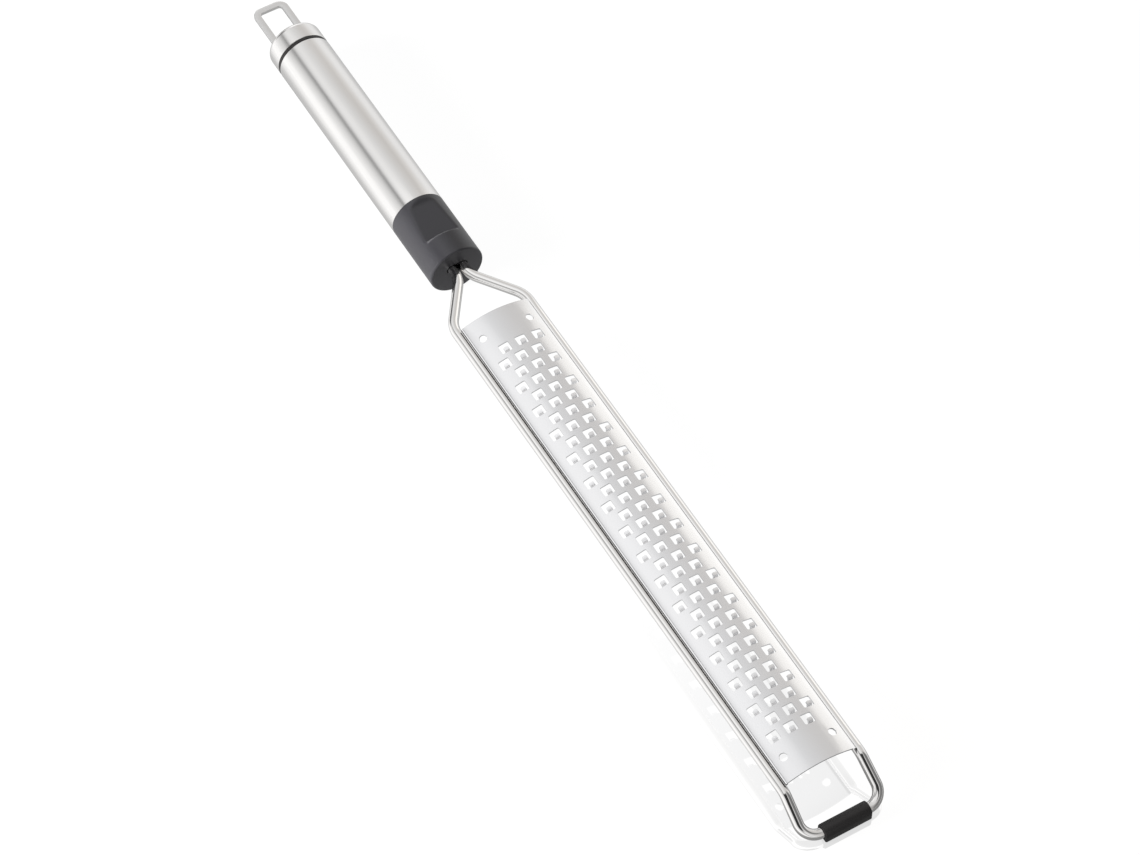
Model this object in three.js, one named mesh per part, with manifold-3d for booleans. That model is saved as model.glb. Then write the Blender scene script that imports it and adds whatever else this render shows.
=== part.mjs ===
// A long hand grater: an arched steel blade full of raised teeth, welded between the two
// rails of one bent wire, with a round steel handle, a thumb-rest collar, a hanging loop
// at one end and a rubber foot at the other. It lies on a table as it would in a kitchen.
//
// Units are millimetres. X runs from the hanging loop to the foot, Y across, Z up.
// Pieces are drawn from the collar's end face (x = 0) and the handle's axis (z = 0).
// The assembled group then stands on z = 0 with its box centred on the origin.

import * as THREE from 'three';
import { mergeVertices } from 'three/addons/utils/BufferGeometryUtils.js';
import Module from 'manifold-3d';

const wasm = await Module();
wasm.setup();

// Clearances
const slipGap = 0.3; // round pieces that slide into one another
const seatGap = 0.1; // flat faces that meet end to end
const weldGap = 0.3; // blade flange to wire

// Handle tube
const handleDiameter = 21;
const tubeWall = 1;
const tubeLength = 85.6;

// Collar, with its thumb rest and the spigot that goes into the tube
const collarLength = 28.4;
const collarLip = 0; // how far the collar stands proud of the tube
const collarEdgeRadius = 0.8;
const spigotLength = 22;
const restMargin = 1; // full round left next to the tube
const restRunIn = 2.6; // length of the curved run-in of the thumb rest
const restStartDepth = 1.3;
const restStepDepth = 2.5;
const restToEnd = 10.1; // full round left between the step and the end face

// Seal ring, end cap and the plug that carries both
const ringThickness = 1.3;
const ringRecess = 0.1; // how far the ring lies below the tube's surface
const capLength = 8.6;
const capWall = 1;
const capEndWall = 1.2;
const capShoulderRadius = 2.5;
const plugReach = 14; // length of the plug inside the tube
const plugCoreDiameter = 13;
const plugCoreDepth = 12;

// Hanging loop, a flat bar bent into a U
const loopEyeWidth = 8.7;
const loopBarWidth = 2.6;
const loopBarThickness = 1.4;
const loopReach = 20.2; // out of the cap
const loopLegDepth = 6; // leg length held in the cap and the plug
const loopOuterRadius = 3.8;
const loopInnerRadius = 1.2;

// Wire frame
const wireDiameter = 3.8;
const tailGap = 0.3; // between the two wire tails in the handle
const wireRise = 1.6; // rails above the handle's axis
const frameWidth = 32.9; // over both rails
const neckStart = 4.8; // collar end to the first bend
const neckLength = 17.7; // first bend to the shoulder bend
const neckBendRadius = 11;
const shoulderBendRadius = 11;
const frontBendRadius = 6;
const frontBendReach = 0.8; // front bend's corner past the blade's end
const footReach = 14.5; // front bend's corner to the crossbar
const footFlare = 0.5; // rails spread on each side on their way down

// Anchor plate welded across the wire tails behind the spigot
const anchorDiameter = 16;
const anchorThickness = 3;
const tailOut = 1; // wire tails beyond the plate

// Foot, a rubber sleeve on the crossbar
const footLength = 17.8;
const footWall = 0.85;
const footSole = 1; // rubber below the wire
const footCornerRadius = 0.6;
const footBendMargin = 0.15; // straight wire left at each end of the sleeve

// Blade
const bladeInset = 4.2; // shoulder bend's corner to the blade
const bladeLength = 211;
const sheetThickness = 0.6;
const archRadius = 34;
const foldRadius = 0.9;
const flangeHeight = 0.4; // straight edge below the fold
const edgeLap = 0.75; // blade's edge over the wire's inner side
const cornerHoleDiameter = 3;
const cornerHoleInset = 8.2; // from the blade's end
const cornerHoleSpacing = 19; // across the blade

// Teeth: staggered rows of openings, each with a raised tongue that cuts towards the handle
const toothColumns = 6;
const columnPitch = 3.31; // measured along the arch
const rowPitch = 5.77;
const toothEndMargin = 16; // least distance from the blade's end to a row
const openingWidth = 4;
const openingLength = 3.9;
const tongueWidth = 1.8;
const tongueLength = 1.55;
const toothRise = 1.05; // cutting edge above the sheet
const tongueEdge = 0.15; // slant of the cutting edge
const tongueSkin = 0.1; // how far the tongue's root lies inside the sheet's faces
const tongueRoot = 0.4; // length of the root inside the sheet

// Facets
const roundSides = 48;
const wireSides = 12;
const bendSteps = 5;
const edgeSteps = 3;
const archSteps = 10;
const holeSides = 12;
const cutterReach = 3; // how far a cutter runs past what it cuts

// Places along the axis
const wireRadius = wireDiameter / 2;
const handleRadius = handleDiameter / 2;
const tubeInnerRadius = handleRadius - tubeWall;
const collarRadius = handleRadius + collarLip;
const plugRadius = Math.min(tubeInnerRadius, handleRadius - capWall) - slipGap;
const tailHalfSpacing = (wireDiameter + tailGap) / 2;
const railHalfSpacing = frameWidth / 2 - wireRadius;
const tubeFront = -collarLength - seatGap;
const tubeBack = tubeFront - tubeLength;
const ringFront = tubeBack - seatGap;
const ringBack = ringFront - ringThickness;
const capFront = ringBack - seatGap;
const capBack = capFront - capLength;
const loopEnd = capBack - loopReach;
const spigotBack = -collarLength - spigotLength;
const anchorFront = spigotBack - seatGap;
const anchorBack = anchorFront - anchorThickness;
const shoulderX = neckStart + neckLength;
const bladeStart = shoulderX + bladeInset;
const bladeEnd = bladeStart + bladeLength;
const crossbarX = bladeEnd + frontBendReach + footReach;
const floorZ = -collarRadius;
const crossbarZ = floorZ + footSole + wireRadius;
const bladeSide = railHalfSpacing - wireRadius + edgeLap;
const flangeBottom = wireRise + Math.sqrt((wireRadius + weldGap) ** 2 - (wireRadius - edgeLap) ** 2);
const foldY = bladeSide - foldRadius;
const foldZ = flangeBottom + flangeHeight;
const archCentreZ = foldZ - Math.sqrt((archRadius - foldRadius) ** 2 - foldY ** 2);

const X = new THREE.Vector3(1, 0, 0);
const Y = new THREE.Vector3(0, 1, 0);
const Z = new THREE.Vector3(0, 0, 1);

const brushedSteel = new THREE.MeshStandardMaterial({ color: 0xcbc9c7, roughness: 0.38, metalness: 1 });
const bladeSteel = new THREE.MeshStandardMaterial({ color: 0xc6c6c8, roughness: 0.3, metalness: 1 });
const polishedSteel = new THREE.MeshStandardMaterial({ color: 0xd2d1cf, roughness: 0.14, metalness: 1 });
const plainSteel = new THREE.MeshStandardMaterial({ color: 0x9a9a98, roughness: 0.5, metalness: 1 });
const blackPlastic = new THREE.MeshStandardMaterial({ color: 0x3d3c40, roughness: 0.5, metalness: 0 });
const greyPlastic = new THREE.MeshStandardMaterial({ color: 0x6f7073, roughness: 0.6, metalness: 0 });
const blackRubber = new THREE.MeshStandardMaterial({ color: 0x2a2828, roughness: 0.7, metalness: 0 });

// Turns a geometry into a solid that can be cut and joined. Corner points that several
// triangles share become one, and triangles that shrink to a line at a pole are dropped.
function solidOf(geometry) {
  const bare = geometry.clone();
  bare.deleteAttribute('normal');
  bare.deleteAttribute('uv');
  const merged = mergeVertices(bare, 1e-4);
  const corners = [];
  for (let i = 0; i < merged.index.count; i += 3) {
    const [a, b, c] = [0, 1, 2].map((k) => merged.index.getX(i + k));
    if (a !== b && b !== c && c !== a) corners.push(a, b, c);
  }
  return new wasm.Manifold(new wasm.Mesh({
    numProp: 3,
    vertProperties: new Float32Array(merged.attributes.position.array),
    triVerts: new Uint32Array(signedVolume(merged, corners) < 0 ? corners.reverse() : corners),
  }));
}

function signedVolume(geometry, corners) {
  const [a, b, c] = [new THREE.Vector3(), new THREE.Vector3(), new THREE.Vector3()];
  const place = geometry.attributes.position;
  let volume = 0;
  for (let i = 0; i < corners.length; i += 3) {
    a.fromBufferAttribute(place, corners[i]);
    b.fromBufferAttribute(place, corners[i + 1]);
    c.fromBufferAttribute(place, corners[i + 2]);
    volume += a.dot(b.cross(c)) / 6;
  }
  return volume;
}

function geometryOf(solid) {
  const mesh = solid.getMesh();
  const geometry = new THREE.BufferGeometry();
  geometry.setAttribute('position', new THREE.BufferAttribute(new Float32Array(mesh.vertProperties), 3));
  geometry.setIndex(new THREE.BufferAttribute(new Uint32Array(mesh.triVerts), 1));
  geometry.computeVertexNormals();
  return geometry;
}

function piece(name, solid, material) {
  const mesh = new THREE.Mesh(geometryOf(solid), material);
  mesh.name = name;
  return mesh;
}

// A profile of [x, radius] points turned about the handle's axis.
function turned(profile) {
  const outline = profile.map(([x, radius]) => new THREE.Vector2(radius, x));
  return solidOf(new THREE.LatheGeometry(outline, roundSides).rotateZ(-Math.PI / 2));
}

// A hollow profile, which closes on itself away from the axis.
function turnedRing(profile) {
  return turned([...profile, profile[0]]);
}

// A shape drawn in Y and Z, run along X from one place to another.
function alongX(shape, from, to) {
  const geometry = new THREE.ExtrudeGeometry(shape, {
    depth: to - from, bevelEnabled: false, curveSegments: edgeSteps * 2,
  });
  return solidOf(geometry.applyMatrix4(new THREE.Matrix4().makeBasis(Y, Z, X)).translate(from, 0, 0));
}

// A shape drawn in X and Z, run across Y to the same width on both sides.
function alongY(shape, width) {
  const geometry = new THREE.ExtrudeGeometry(shape, {
    depth: width, bevelEnabled: false, curveSegments: edgeSteps * 2,
  });
  const turn = new THREE.Matrix4().makeBasis(X, Z, Y.clone().negate());
  return geometry.applyMatrix4(turn).translate(0, width / 2, 0);
}

function arc(centre, radius, from, to, steps) {
  return Array.from({ length: steps + 1 }, (_, i) => {
    const angle = from + (to - from) * i / steps;
    return new THREE.Vector2(centre.x + radius * Math.cos(angle), centre.y + radius * Math.sin(angle));
  });
}

function bar(from, to, width, thickness, y, z) {
  const box = new THREE.BoxGeometry(to - from, width, thickness);
  return solidOf(box.translate((from + to) / 2, y, z));
}

// The slot with two round ends that takes both wire tails side by side.
function tailSlot(from, to) {
  const radius = wireRadius + slipGap;
  const slot = new THREE.Shape();
  slot.absarc(tailHalfSpacing, wireRise, radius, -Math.PI / 2, Math.PI / 2);
  slot.absarc(-tailHalfSpacing, wireRise, radius, Math.PI / 2, Math.PI * 1.5);
  return alongX(slot, from, to);
}

function loopLegs(from, to, gap) {
  const y = (loopEyeWidth + loopBarWidth) / 2;
  const width = loopBarWidth + 2 * gap;
  const thickness = loopBarThickness + 2 * gap;
  return bar(from, to, width, thickness, y, 0).add(bar(from, to, width, thickness, -y, 0));
}

// A rod with straight runs between bends. Each corner has its own bend radius, and the
// rod is sampled only where a bend needs it.
class BentRod extends THREE.Curve {
  constructor(corners) {
    super();
    this.stations = [];
    corners.forEach((corner, i) => this.addCorner(corners[i - 1], corner, corners[i + 1]));
  }

  addCorner(before, corner, after) {
    const into = before && corner.at.clone().sub(before.at).normalize();
    const outOf = after && after.at.clone().sub(corner.at).normalize();
    if (!into || !outOf) {
      this.stations.push({ point: corner.at, tangent: into || outOf });
      return;
    }
    const turn = into.angleTo(outOf);
    const start = corner.at.clone().addScaledVector(into, -corner.radius * Math.tan(turn / 2));
    const inward = outOf.clone().addScaledVector(into, -Math.cos(turn)).normalize();
    for (let i = 0; i <= bendSteps; i += 1) {
      const angle = turn * i / bendSteps;
      const point = start.clone()
        .addScaledVector(inward, corner.radius * (1 - Math.cos(angle)))
        .addScaledVector(into, corner.radius * Math.sin(angle));
      const tangent = into.clone().multiplyScalar(Math.cos(angle)).addScaledVector(inward, Math.sin(angle));
      this.stations.push({ point, tangent });
    }
  }

  get steps() {
    return this.stations.length - 1;
  }

  getPointAt(u) {
    return this.stations[Math.round(u * this.steps)].point.clone();
  }

  getTangentAt(u) {
    return this.stations[Math.round(u * this.steps)].tangent.clone();
  }
}

function handleTube() {
  return turnedRing([
    [tubeBack, tubeInnerRadius],
    [tubeBack, handleRadius],
    [tubeFront, handleRadius],
    [tubeFront, tubeInnerRadius],
  ]);
}

function collar() {
  const spigotRadius = tubeInnerRadius - slipGap;
  const edgeCentre = new THREE.Vector2(-collarEdgeRadius, collarRadius - collarEdgeRadius);
  const edge = arc(edgeCentre, collarEdgeRadius, Math.PI / 2, 0, edgeSteps);
  const body = turned([
    [spigotBack, 0],
    [spigotBack, spigotRadius],
    [-collarLength, spigotRadius],
    [-collarLength, collarRadius],
    ...edge.map((point) => [point.x, point.y]),
    [0, 0],
  ]);
  const restStart = -collarLength + restMargin;
  const rest = new THREE.Shape();
  rest.moveTo(restStart, collarRadius + cutterReach);
  rest.lineTo(restStart, collarRadius);
  rest.quadraticCurveTo(
    restStart + restRunIn / 3, collarRadius - restStartDepth,
    restStart + restRunIn, collarRadius - restStartDepth,
  );
  rest.lineTo(-restToEnd, collarRadius - restStepDepth);
  rest.lineTo(-restToEnd, collarRadius + cutterReach);
  return body
    .subtract(solidOf(alongY(rest, 2 * collarRadius)))
    .subtract(tailSlot(spigotBack - cutterReach, cutterReach));
}

function sealRing() {
  const inner = plugRadius + slipGap;
  const outer = handleRadius - ringRecess;
  return turnedRing([[ringBack, inner], [ringBack, outer], [ringFront, outer], [ringFront, inner]]);
}

function endCap() {
  const inner = handleRadius - capWall;
  const corner = capShoulderRadius - capWall; // chamfer that follows the shoulder inside
  const floor = capBack + capEndWall;
  const shoulderCentre = new THREE.Vector2(capBack + capShoulderRadius, handleRadius - capShoulderRadius);
  const shoulder = arc(shoulderCentre, capShoulderRadius, Math.PI, Math.PI / 2, edgeSteps * 2);
  const cup = turned([
    [capBack, 0],
    ...shoulder.map((point) => [point.x, point.y]),
    [capFront, handleRadius],
    [capFront, inner],
    [floor + corner, inner],
    [floor, inner - corner],
    [floor, 0],
  ]);
  return cup.subtract(loopLegs(capBack - cutterReach, floor + cutterReach, slipGap));
}

function endPlug() {
  const corner = capShoulderRadius - capWall;
  const back = capBack + capEndWall + slipGap;
  const front = tubeBack + plugReach;
  const coreEnd = front - plugCoreDepth;
  const coreRadius = plugCoreDiameter / 2;
  const body = turned([
    [back, 0],
    [back, plugRadius - corner],
    [back + corner, plugRadius],
    [front, plugRadius],
    [front, coreRadius],
    [coreEnd, coreRadius],
    [coreEnd, 0],
  ]);
  return body.subtract(loopLegs(back - cutterReach, capBack + loopLegDepth + slipGap, slipGap));
}

function hangLoop() {
  const legEnd = capBack + loopLegDepth;
  const inner = loopEyeWidth / 2;
  const outer = inner + loopBarWidth;
  const eyeEnd = loopEnd + loopBarWidth;
  const outerBend = (side) => new THREE.Vector2(loopEnd + loopOuterRadius, side * (outer - loopOuterRadius));
  const innerBend = (side) => new THREE.Vector2(eyeEnd + loopInnerRadius, side * (inner - loopInnerRadius));
  const quarter = Math.PI / 2;
  const outline = new THREE.Shape([
    new THREE.Vector2(legEnd, outer),
    ...arc(outerBend(1), loopOuterRadius, quarter, 2 * quarter, edgeSteps * 2),
    ...arc(outerBend(-1), loopOuterRadius, 2 * quarter, 3 * quarter, edgeSteps * 2),
    new THREE.Vector2(legEnd, -outer),
    new THREE.Vector2(legEnd, -inner),
    ...arc(innerBend(-1), loopInnerRadius, 3 * quarter, 2 * quarter, edgeSteps),
    ...arc(innerBend(1), loopInnerRadius, 2 * quarter, quarter, edgeSteps),
    new THREE.Vector2(legEnd, inner),
  ]);
  const plate = new THREE.ExtrudeGeometry(outline, { depth: loopBarThickness, bevelEnabled: false });
  return solidOf(plate.translate(0, 0, -loopBarThickness / 2));
}

function wireAnchor() {
  const plate = turned([
    [anchorBack, 0],
    [anchorBack, anchorDiameter / 2],
    [anchorFront, anchorDiameter / 2],
    [anchorFront, 0],
  ]);
  return plate.subtract(tailSlot(anchorBack - cutterReach, anchorFront + cutterReach));
}

// The wire runs from one tail out along a rail, down and across under the foot, and back
// along the other rail. The crossbar's bends take what the foot leaves of the width.
function wireFrame() {
  const tailEnd = anchorBack - tailOut;
  const frontX = bladeEnd + frontBendReach;
  const crossbarHalf = railHalfSpacing + footFlare;
  const descent = new THREE.Vector3(footReach, footFlare, crossbarZ - wireRise).normalize();
  const crossbarTurn = descent.angleTo(Y.clone().negate());
  const crossbarBendRun = crossbarHalf - footLength / 2 - footBendMargin;
  const crossbarBendRadius = crossbarBendRun / Math.tan(crossbarTurn / 2);
  const half = (side) => [
    { at: new THREE.Vector3(tailEnd, side * tailHalfSpacing, wireRise), radius: 0 },
    { at: new THREE.Vector3(neckStart, side * tailHalfSpacing, wireRise), radius: neckBendRadius },
    { at: new THREE.Vector3(shoulderX, side * railHalfSpacing, wireRise), radius: shoulderBendRadius },
    { at: new THREE.Vector3(frontX, side * railHalfSpacing, wireRise), radius: frontBendRadius },
    { at: new THREE.Vector3(crossbarX, side * crossbarHalf, crossbarZ), radius: crossbarBendRadius },
  ];
  const rod = new BentRod([...half(1), ...half(-1).reverse()]);
  const section = new THREE.Shape().absarc(0, 0, wireRadius, 0, 2 * Math.PI);
  return solidOf(new THREE.ExtrudeGeometry(section, {
    steps: rod.steps, extrudePath: rod, curveSegments: wireSides / 2,
  }));
}

// The blade's section: a shallow arch whose edges fold down onto the rails.
function bladeSection() {
  const foldAngle = Math.atan2(foldZ - archCentreZ, foldY);
  const archCentre = new THREE.Vector2(0, archCentreZ);
  const fold = (sign) => new THREE.Vector2(sign * foldY, foldZ);
  const skin = (inset) => [
    new THREE.Vector2(bladeSide - inset, flangeBottom),
    ...arc(fold(1), foldRadius - inset, 0, foldAngle, edgeSteps),
    ...arc(archCentre, archRadius - inset, foldAngle, Math.PI - foldAngle, archSteps).slice(1, -1),
    ...arc(fold(-1), foldRadius - inset, Math.PI - foldAngle, Math.PI, edgeSteps),
    new THREE.Vector2(inset - bladeSide, flangeBottom),
  ];
  return new THREE.Shape([...skin(0), ...skin(sheetThickness).reverse()]);
}

// Moves a geometry that is drawn on the crown, with z = 0 at the sheet's upper face, to a
// place along the blade and a distance along the arch.
function onArch(geometry, x, alongArch) {
  const placed = geometry.clone().translate(0, 0, archRadius);
  return solidOf(placed.rotateX(-alongArch / archRadius).translate(x, 0, archCentreZ));
}

function tongueShape() {
  const root = openingLength / 2;
  const tip = root - tongueLength;
  return new THREE.Shape([
    new THREE.Vector2(root + tongueRoot, -tongueSkin),
    new THREE.Vector2(tip, toothRise),
    new THREE.Vector2(tip + tongueEdge, toothRise - sheetThickness),
    new THREE.Vector2(root + tongueRoot, tongueSkin - sheetThickness),
  ]);
}

function teeth() {
  const rows = Math.floor((bladeLength - 2 * toothEndMargin) / rowPitch) + 1;
  const firstRow = (bladeStart + bladeEnd - (rows - 1) * rowPitch) / 2;
  const places = [];
  for (let row = 0; row < rows; row += 1) {
    for (let column = row % 2; column < toothColumns; column += 2) {
      const fromEdge = (toothColumns - 1) / 2 - column;
      places.push({ x: firstRow + row * rowPitch, alongArch: fromEdge * columnPitch });
    }
  }
  return places;
}

function blade() {
  const sheet = alongX(bladeSection(), bladeStart, bladeEnd);
  const opening = new THREE.BoxGeometry(openingLength, openingWidth, 2 * cutterReach);
  const tongue = alongY(tongueShape(), tongueWidth);
  const hole = new THREE.CylinderGeometry(
    cornerHoleDiameter / 2, cornerHoleDiameter / 2, 2 * cutterReach, holeSides,
  ).rotateX(Math.PI / 2);
  const cutters = teeth().map(({ x, alongArch }) => onArch(opening, x, alongArch));
  for (const x of [bladeStart + cornerHoleInset, bladeEnd - cornerHoleInset]) {
    cutters.push(onArch(hole, x, cornerHoleSpacing / 2));
    cutters.push(onArch(hole, x, -cornerHoleSpacing / 2));
  }
  const tongues = teeth().map(({ x, alongArch }) => onArch(tongue, x, alongArch));
  const joined = (solids) => solids.reduce((all, one) => all.add(one));
  return sheet.subtract(joined(cutters)).add(joined(tongues));
}

// The sleeve has a round back and a flat sole.
function foot() {
  const half = wireRadius + footWall;
  const corner = footCornerRadius;
  const sole = -wireRadius - footSole;
  const section = new THREE.Shape([
    ...arc(new THREE.Vector2(0, 0), half, 0, Math.PI, edgeSteps * 4),
    ...arc(new THREE.Vector2(corner - half, sole + corner), corner, Math.PI, Math.PI * 1.5, edgeSteps),
    ...arc(new THREE.Vector2(half - corner, sole + corner), corner, Math.PI * 1.5, Math.PI * 2, edgeSteps),
  ]);
  const bore = new THREE.Path().absarc(0, 0, wireRadius + slipGap, 0, 2 * Math.PI, true);
  section.holes.push(bore);
  return solidOf(alongY(section, footLength).translate(crossbarX, 0, crossbarZ));
}

const grater = new THREE.Group();
grater.name = 'grater';
grater.add(
  piece('handle_tube', handleTube(), brushedSteel),
  piece('collar', collar(), blackPlastic),
  piece('seal_ring', sealRing(), blackRubber),
  piece('end_cap', endCap(), brushedSteel),
  piece('end_plug', endPlug(), greyPlastic),
  piece('hang_loop', hangLoop(), brushedSteel),
  piece('wire_frame', wireFrame(), polishedSteel),
  piece('wire_anchor', wireAnchor(), plainSteel),
  piece('blade', blade(), bladeSteel),
  piece('foot', foot(), blackRubber),
);

// The collar and the foot stand on the table, and the loop and the foot end the length.
const footFront = crossbarX + wireRadius + footWall;
grater.position.set(-(loopEnd + footFront) / 2, 0, -floorZ);

export default grater;
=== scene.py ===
# %% [markdown]
# # A long hand grater
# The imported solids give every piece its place. This script puts smooth, finished pieces
# over the plain solids, so that round metal looks round and every surface has the fine
# marks that it gets in the workshop. Lengths are typed in millimetres, as on a drawing,
# and each piece is turned into metres when it is done.

# %% Load the frame
import bpy
import bmesh
import math
from mathutils import Matrix, Vector


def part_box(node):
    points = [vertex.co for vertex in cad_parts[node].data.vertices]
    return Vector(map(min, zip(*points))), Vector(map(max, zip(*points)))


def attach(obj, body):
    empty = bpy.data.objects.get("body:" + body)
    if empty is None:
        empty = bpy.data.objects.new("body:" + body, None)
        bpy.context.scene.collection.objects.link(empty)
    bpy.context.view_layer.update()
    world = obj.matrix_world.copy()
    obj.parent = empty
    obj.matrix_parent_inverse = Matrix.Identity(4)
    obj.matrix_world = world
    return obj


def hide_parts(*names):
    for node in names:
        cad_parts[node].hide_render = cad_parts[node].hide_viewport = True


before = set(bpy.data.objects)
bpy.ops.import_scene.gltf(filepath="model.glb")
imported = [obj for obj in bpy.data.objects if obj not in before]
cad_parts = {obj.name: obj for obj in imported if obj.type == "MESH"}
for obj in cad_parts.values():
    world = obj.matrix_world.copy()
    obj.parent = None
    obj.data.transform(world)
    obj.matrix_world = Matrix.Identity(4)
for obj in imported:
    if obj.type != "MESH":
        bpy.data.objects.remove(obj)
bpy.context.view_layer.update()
print("nodes:", ", ".join(sorted(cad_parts)))

# %% [markdown]
# ## One drawing for all pieces
# On the drawing, x = 0 is the front face of the black collar, and the handle's axis is at
# z = 0. The frame instead stands on the table with its middle at the origin. One shift
# takes every piece from the drawing to the frame. Along the tool it is measured from the
# collar's solid, so the pieces sit where the solids sit.

# %% Shift from the drawing to the frame
MM = 0.001
HANDLE_R = 10.5
collar_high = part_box("collar")[1]
SHIFT = Vector((collar_high[0] / MM, 0, HANDLE_R))
print("shift in mm:", [round(value, 3) for value in SHIFT])

# %% [markdown]
# ## From a bmesh to a finished piece
# Each piece is shaped in a bmesh, in millimetres.

# %% Finishing helper
def finish_piece(name, bm, node, material, sharp=35):
    bmesh.ops.translate(bm, verts=bm.verts, vec=SHIFT)
    bmesh.ops.scale(bm, verts=bm.verts, vec=(MM, MM, MM))
    mesh = bpy.data.meshes.new(name)
    bm.to_mesh(mesh)
    bm.free()
    mesh.shade_smooth()
    mesh.set_sharp_from_angle(angle=math.radians(sharp))
    mesh.materials.append(material)
    piece = bpy.data.objects.new(name, mesh)
    bpy.context.scene.collection.objects.link(piece)
    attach(piece, "root")
    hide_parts(node)
    print(name, "has", len(mesh.polygons), "faces")


# %% [markdown]
# ## Shader sums as plain sums
# A finish is easier to read as a formula than as a web of nodes. `Value` wraps a socket, so
# that `1 - mask` or `grain * 0.1` adds the Math node that it needs. `Finish` holds one
# material and has a single method that adds any other node.

# %% Shader helpers
class Value:
    def __init__(self, finish, socket):
        self.finish = finish
        self.socket = socket

    def combine(self, operation, first, second):
        return self.finish.node("ShaderNodeMath", {"operation": operation}, {0: first, 1: second})

    def __add__(self, other):
        return self.combine("ADD", self, other)

    def __sub__(self, other):
        return self.combine("SUBTRACT", self, other)

    def __mul__(self, other):
        return self.combine("MULTIPLY", self, other)

    def __truediv__(self, other):
        return self.combine("DIVIDE", self, other)

    def __radd__(self, other):
        return self.combine("ADD", other, self)

    def __rsub__(self, other):
        return self.combine("SUBTRACT", other, self)

    def __rmul__(self, other):
        return self.combine("MULTIPLY", other, self)

    def __rtruediv__(self, other):
        return self.combine("DIVIDE", other, self)


class Finish:
    def __init__(self, owner):
        owner.use_nodes = True
        self.owner = owner
        self.tree = owner.node_tree

    def feed(self, socket, value):
        if isinstance(value, Value):
            self.tree.links.new(value.socket, socket)
        else:
            socket.default_value = value

    def node(self, kind, settings=None, values=None, out=0):
        made = self.tree.nodes.new(kind)
        for key, setting in (settings or {}).items():
            if key == "stops":
                ramp = made.color_ramp.elements
                while len(ramp) < len(setting):
                    ramp.new(0.5)
                for element, (place, colour) in zip(ramp, setting):
                    element.position = place
                    element.color = (*colour, 1)
            else:
                setattr(made, key, setting)
        for key, value in (values or {}).items():
            self.feed(made.inputs[key], value)
        return Value(self, made.outputs[out])

    def mix_colour(self, factor, first, second):
        values = {0: factor, 6: first, 7: second}
        return self.node("ShaderNodeMix", {"data_type": "RGBA"}, values, out=2)

    def surface(self, **values):
        shader = self.tree.nodes["Principled BSDF"]
        for key, value in values.items():
            self.feed(shader.inputs[key.replace("_", " ")], value)


def new_finish(name):
    return Finish(bpy.data.materials.new(name))


# %% [markdown]
# ## Grain
# Brushing, rolling and moulding all leave a grain. It is noise, stretched along the way the
# belt or the roller ran. The scale says how many grains fit in a metre along x, y and z, so a
# small number along x gives long lines along the handle.

# %% Grain helper
def grain(finish, per_metre, detail=2.0, roughness=0.5):
    place = finish.node("ShaderNodeTexCoord", out="Object")
    stretched = finish.node("ShaderNodeMapping", {}, {"Vector": place, "Scale": per_metre})
    values = {"Vector": stretched, "Scale": 1.0, "Detail": detail, "Roughness": roughness}
    return finish.node("ShaderNodeTexNoise", {}, values)


def bump(finish, height, distance):
    return finish.node("ShaderNodeBump", {}, {"Height": height, "Distance": distance})


# %% [markdown]
# ## Masks by place
# Some finishes change from place to place: the blade gets painted shade only along the crevice
# at the wire, and the collar gets a painted highlight only on the rim of its step. Such masks
# could be painted, but a few lengths say it all here, so they are worked out from a point's own
# coordinates: 0 outside, 1 inside, and a soft step between.

# %% Mask helpers
def fade(value, low, high, course="SMOOTHSTEP"):
    limits = {"Value": value, "From Min": low, "From Max": high}
    return value.finish.node("ShaderNodeMapRange", {"interpolation_type": course}, limits)


def coordinates(finish, source="Object"):
    place = finish.node("ShaderNodeTexCoord", out=source)
    split = finish.node("ShaderNodeSeparateXYZ", {}, {0: place})
    return [Value(finish, split.socket.node.outputs[axis]) for axis in range(3)]


def above_height(finish, height, edge):
    z = coordinates(finish)[2]
    return fade(z, height - edge, height + edge)


def above_arch(finish, radius, middle_z):
    _, y, z = coordinates(finish)
    squares = y * y + (z - middle_z) * (z - middle_z)
    reach = finish.node("ShaderNodeMath", {"operation": "SQRT"}, {0: squares})
    return fade(reach, radius + 0.05 * MM, radius + 0.2 * MM, "LINEAR")


def near_rim(finish, rim_x, half_width, lowest):
    x = coordinates(finish)[0]
    off_rim = finish.node("ShaderNodeMath", {"operation": "ABSOLUTE"}, {0: x - rim_x})
    return fade(off_rim, half_width, 0, "LINEAR") * above_height(finish, lowest, 0.2 * MM)


# %% [markdown]
# ## The steels
# The handle is belt-brushed along its length, the blade is rolled sheet with a satin face,
# the wire is drawn and polished, and the loop is blasted flat bar. They share one recipe:
# a light metal whose colour and roughness follow a fine grain, with soft cloudy patches
# where hands and polish have been. Two places on the blade differ. Below a set height, where
# its flange sits against the wire it is welded to, it gets a dark colour, a painted shade for
# the crevice there, and is made duller. Above the arch, on the raised tongues, the metal gets
# a paler colour, a painted highlight for the light they catch, and the punch has left them a
# little duller.

# %% Steel recipe
CLOUDS_PER_METRE, FINE_SHARE = (35, 90, 90), 0.65
# The dark colour below the set height is painted shade for the crevice between blade and wire.
CREVICE_PAINTED_SHADE, CREVICE_SHADE_EDGE, CREVICE_DULL = (0.035, 0.032, 0.030, 1), 0.15 * MM, 0.4
# The paler tongue colour is a painted highlight for the light the raised tongues catch.
TONGUE_PAINTED_HIGHLIGHT, PUNCHED_DULL = (0.93, 0.93, 0.94, 1), 0.1


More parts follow.
